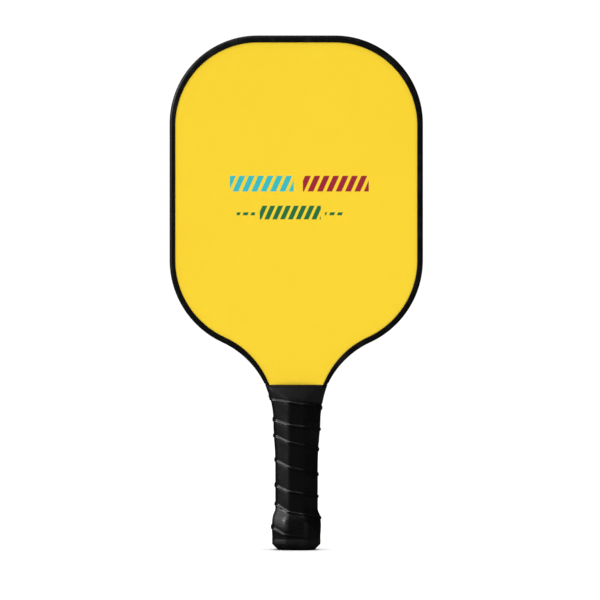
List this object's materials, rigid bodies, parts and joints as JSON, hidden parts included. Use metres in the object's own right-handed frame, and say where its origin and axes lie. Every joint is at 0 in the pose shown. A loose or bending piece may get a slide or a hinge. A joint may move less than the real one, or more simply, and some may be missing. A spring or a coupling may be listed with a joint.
{
  "type": "pickleball paddle",
  "caption": "Flat paddle with a rounded rectangular honeycomb head, black edge guard and an octagonal handle with a wound cushion grip.",
  "frame": {"origin": "centre of the butt face, the flat end of the handle", "axes": "+Z along the paddle from the butt to the tip of the head, -Y out of the front face, +X to the right seen from the front"},
  "size_m": [0.2, 0.0344, 0.406],
  "materials": {
    "polypropylene_core": "translucent extruded polypropylene honeycomb",
    "polyester_scrim": "thin non-woven bonding veil",
    "fibreglass_sheet": "woven glass in epoxy, lightly textured",
    "yellow_printed_film": "yellow print under a satin clear coat over the glass weave",
    "black_guard_plastic": "extruded thermoplastic elastomer, satin",
    "handle_moulding": "injection moulded, plain",
    "butt_cap_plastic": "moulded, fine spark texture",
    "staple_steel": "galvanised flat wire",
    "badge_plastic": "blank moulded disc",
    "adhesive_tape": "double-sided tape",
    "grip_polyurethane": "cushioned polyurethane strip with a slightly tacky skin",
    "finishing_tape_vinyl": "smooth stretched vinyl tape",
    "neck_band_rubber": "soft rubber band"
  },
  "bodies": {
    "root": {"honeycomb_core": "polypropylene_core", "front_core_scrim": "polyester_scrim", "back_core_scrim": "polyester_scrim", "front_face_sheet": "fibreglass_sheet", "back_face_sheet": "fibreglass_sheet", "front_printed_film": "yellow_printed_film", "back_printed_film": "yellow_printed_film", "edge_guard": "black_guard_plastic", "front_handle_shell": "handle_moulding", "back_handle_shell": "handle_moulding", "butt_cap": "butt_cap_plastic", "butt_cap_staples": "staple_steel", "butt_badge": "badge_plastic", "grip_adhesive_tape": "adhesive_tape", "grip_wrap": "grip_polyurethane", "finishing_tape": "finishing_tape_vinyl", "neck_band": "neck_band_rubber"}
  },
  "joints": []
}
